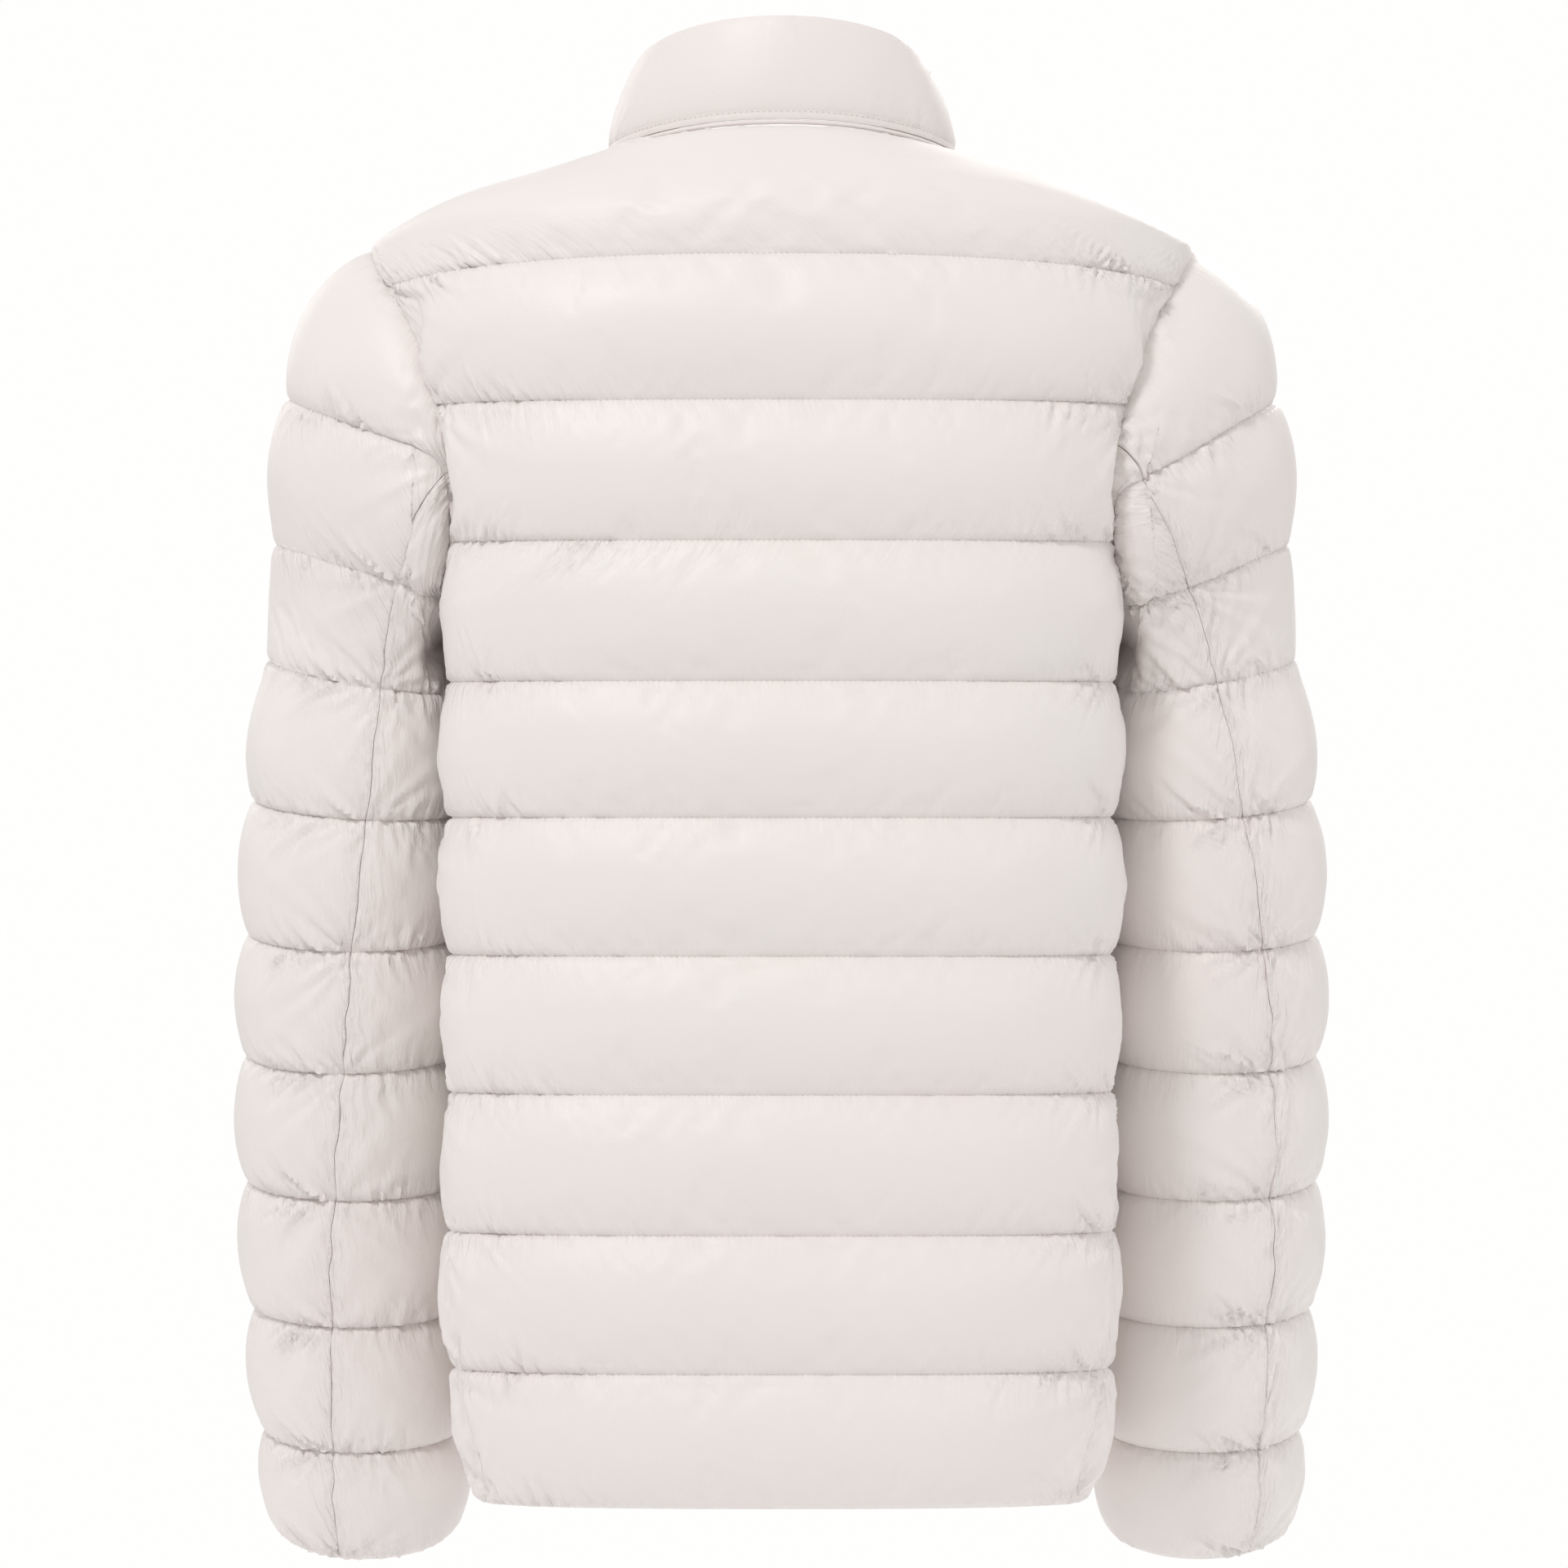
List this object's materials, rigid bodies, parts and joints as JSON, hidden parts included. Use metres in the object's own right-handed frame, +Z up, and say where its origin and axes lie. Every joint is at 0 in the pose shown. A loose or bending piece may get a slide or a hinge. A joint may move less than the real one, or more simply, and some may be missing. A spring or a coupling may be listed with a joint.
{
  "type": "puffer jacket",
  "caption": "Hip-length quilted padded jacket, hollow and filled out, with stand collar, two-piece sleeves and a zip front.",
  "frame": {"origin": "the middle of the back of the neckline seam, where the jacket hangs on its wearer", "axes": "+Z up, -Y out of the zip front, +Y out of the back, +X towards the wearer's left"},
  "size_m": [0.5634, 0.2734, 0.7926],
  "materials": {
    "shell": "soft satin woven nylon, off-white, padded between quilt lines",
    "trim": "matt off-white woven tape",
    "zip_teeth": "pale moulded zip teeth",
    "zip_metal": "pale satin metal"
  },
  "bodies": {
    "jacket": {"back_panel": "shell", "front_left": "shell", "front_right": "shell", "sleeve_outer_left": "shell", "sleeve_outer_right": "shell", "sleeve_under_left": "shell", "sleeve_under_right": "shell", "collar": "shell", "collar_piping": "trim", "zip_tape_left": "trim", "zip_tape_right": "trim", "zip_chain": "zip_teeth", "zip_slider": "zip_metal"},
    "pull": {"zip_pull": "zip_metal"}
  },
  "joints": [
    {"name": "pull_swing", "type": "hinge", "parent": "jacket", "child": "pull", "pos_m": [0, -0.07933, -0.01772], "axis": [-1, 0, 0], "range_deg": [0, 150]}
  ]
}
